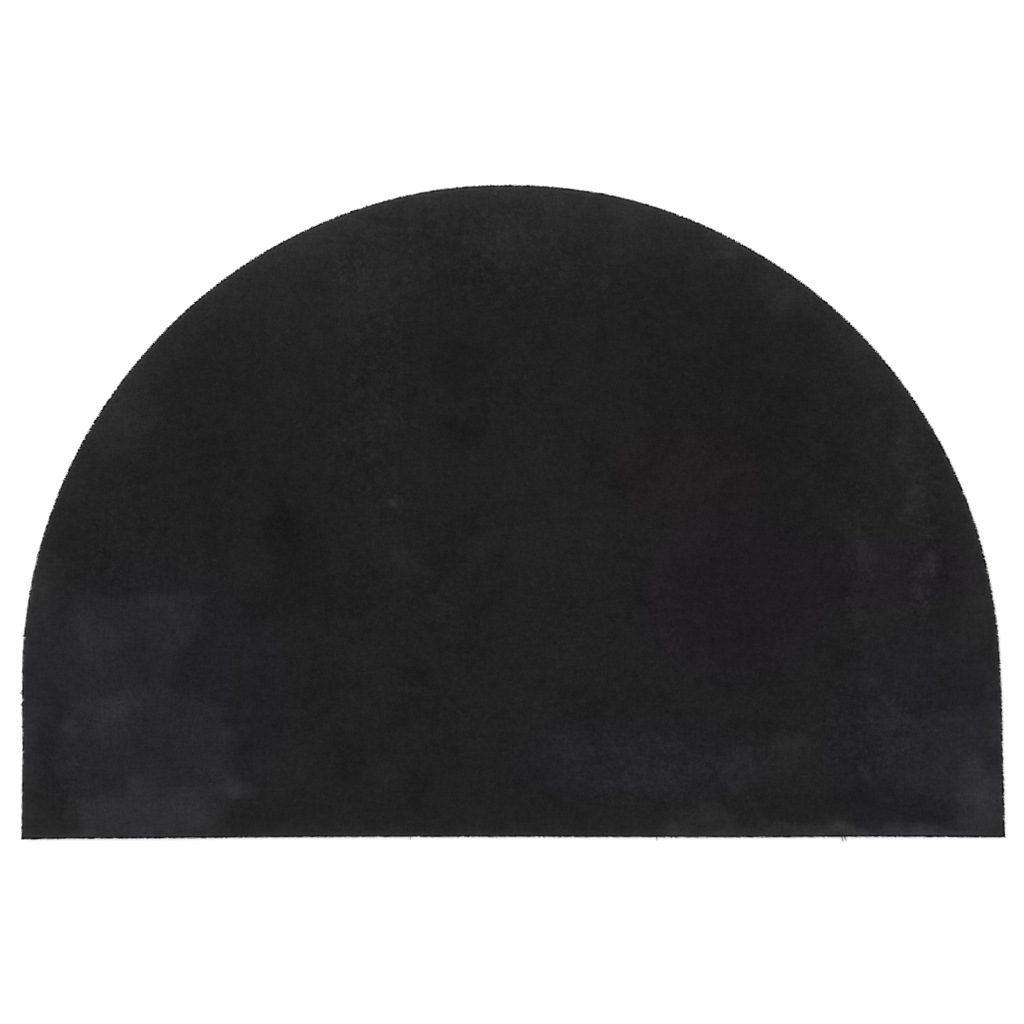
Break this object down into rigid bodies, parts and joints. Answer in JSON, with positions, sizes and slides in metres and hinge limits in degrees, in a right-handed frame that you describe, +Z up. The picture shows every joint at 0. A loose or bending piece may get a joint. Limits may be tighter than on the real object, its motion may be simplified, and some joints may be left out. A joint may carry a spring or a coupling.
{
  "type": "half round coir doormat",
  "caption": "Flat half round doormat of black coir pile on a fused base, with a straight edge, an arc and sharp corners, to lay on the floor at a door.",
  "frame": {"origin": "centre of the mat's bounding box, on the flat underside that lies on the floor", "axes": "+X along the straight edge, to the right as seen from it, +Y from the straight edge to the crown of the arc, +Z up, out of the pile"},
  "size_m": [0.9, 0.599, 0.015],
  "materials": {
    "coir": "matte black dyed coconut fibre, cut to a short dense pile on a black fused base"
  },
  "bodies": {
    "root": {"coir_mat": "coir"}
  },
  "joints": []
}
